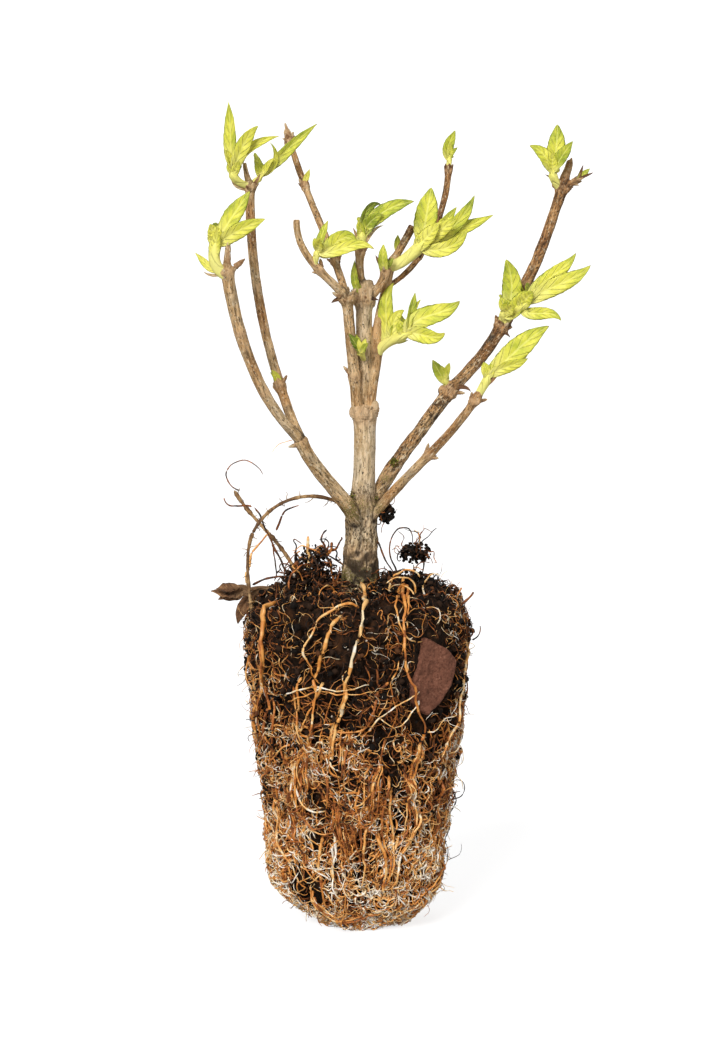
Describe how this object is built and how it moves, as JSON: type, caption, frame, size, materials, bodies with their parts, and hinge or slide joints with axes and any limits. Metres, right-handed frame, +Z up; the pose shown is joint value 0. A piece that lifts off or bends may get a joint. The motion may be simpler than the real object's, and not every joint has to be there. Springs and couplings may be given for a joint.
{
  "type": "young panicle hydrangea shrub on its bare root ball",
  "caption": "Young flowering shrub lifted from its pot: forked bare stems with first spring leaves on a tapered, root-bound soil ball that it stands on.",
  "frame": {"origin": "middle of the flat underside of the root ball, where the plant stands", "axes": "+Z up along the trunk, +X to the right and -Y towards the viewer of the plant's front"},
  "size_m": [0.1573, 0.0902, 0.3302],
  "materials": {
    "old_bark": "matte",
    "young_bark": "matte",
    "young_leaf": "matte",
    "root_mat": "matte",
    "loose_root": "matte",
    "soil": "matte",
    "stone": "matte",
    "dead_leaf": "matte"
  },
  "bodies": {
    "root": {"back_twig": "young_bark", "centre_leader": "old_bark", "centre_left_stem": "young_bark", "centre_right_stem": "young_bark", "centre_stem": "old_bark", "centre_top_twig": "young_bark", "fallen_leaves": "dead_leaf", "knobbly_root": "loose_root", "leaf_right_bough": "young_leaf", "leaves_back": "young_leaf", "leaves_centre": "young_leaf", "leaves_centre_left": "young_leaf", "leaves_centre_low": "young_leaf", "leaves_left": "young_leaf", "leaves_left_top": "young_leaf", "leaves_left_top_arm": "young_leaf", "leaves_lower_right": "young_leaf", "leaves_mid_right": "young_leaf", "leaves_right": "young_leaf", "leaves_right_inner": "young_leaf", "leaves_right_outer": "young_leaf", "leaves_right_top": "young_leaf", "left_bough": "old_bark", "left_cut_stub": "young_bark", "left_inner_bough": "young_bark", "left_inner_tip": "young_bark", "left_outer_bough": "young_bark", "left_outer_tip": "young_bark", "loose_root": "loose_root", "loose_root_end": "loose_root", "right_bough": "old_bark", "right_bough_middle": "young_bark", "right_bough_upper": "young_bark", "right_cut_stub": "young_bark", "right_lower_bough": "young_bark", "right_top_spur": "young_bark", "right_top_tip": "young_bark", "right_twig": "young_bark", "root_ball": "root_mat", "soil_clod_far": "soil", "soil_clod_near": "soil", "stone_chip": "stone", "tall_twig": "young_bark", "tan_stem": "young_bark", "trunk": "old_bark"}
  },
  "joints": []
}
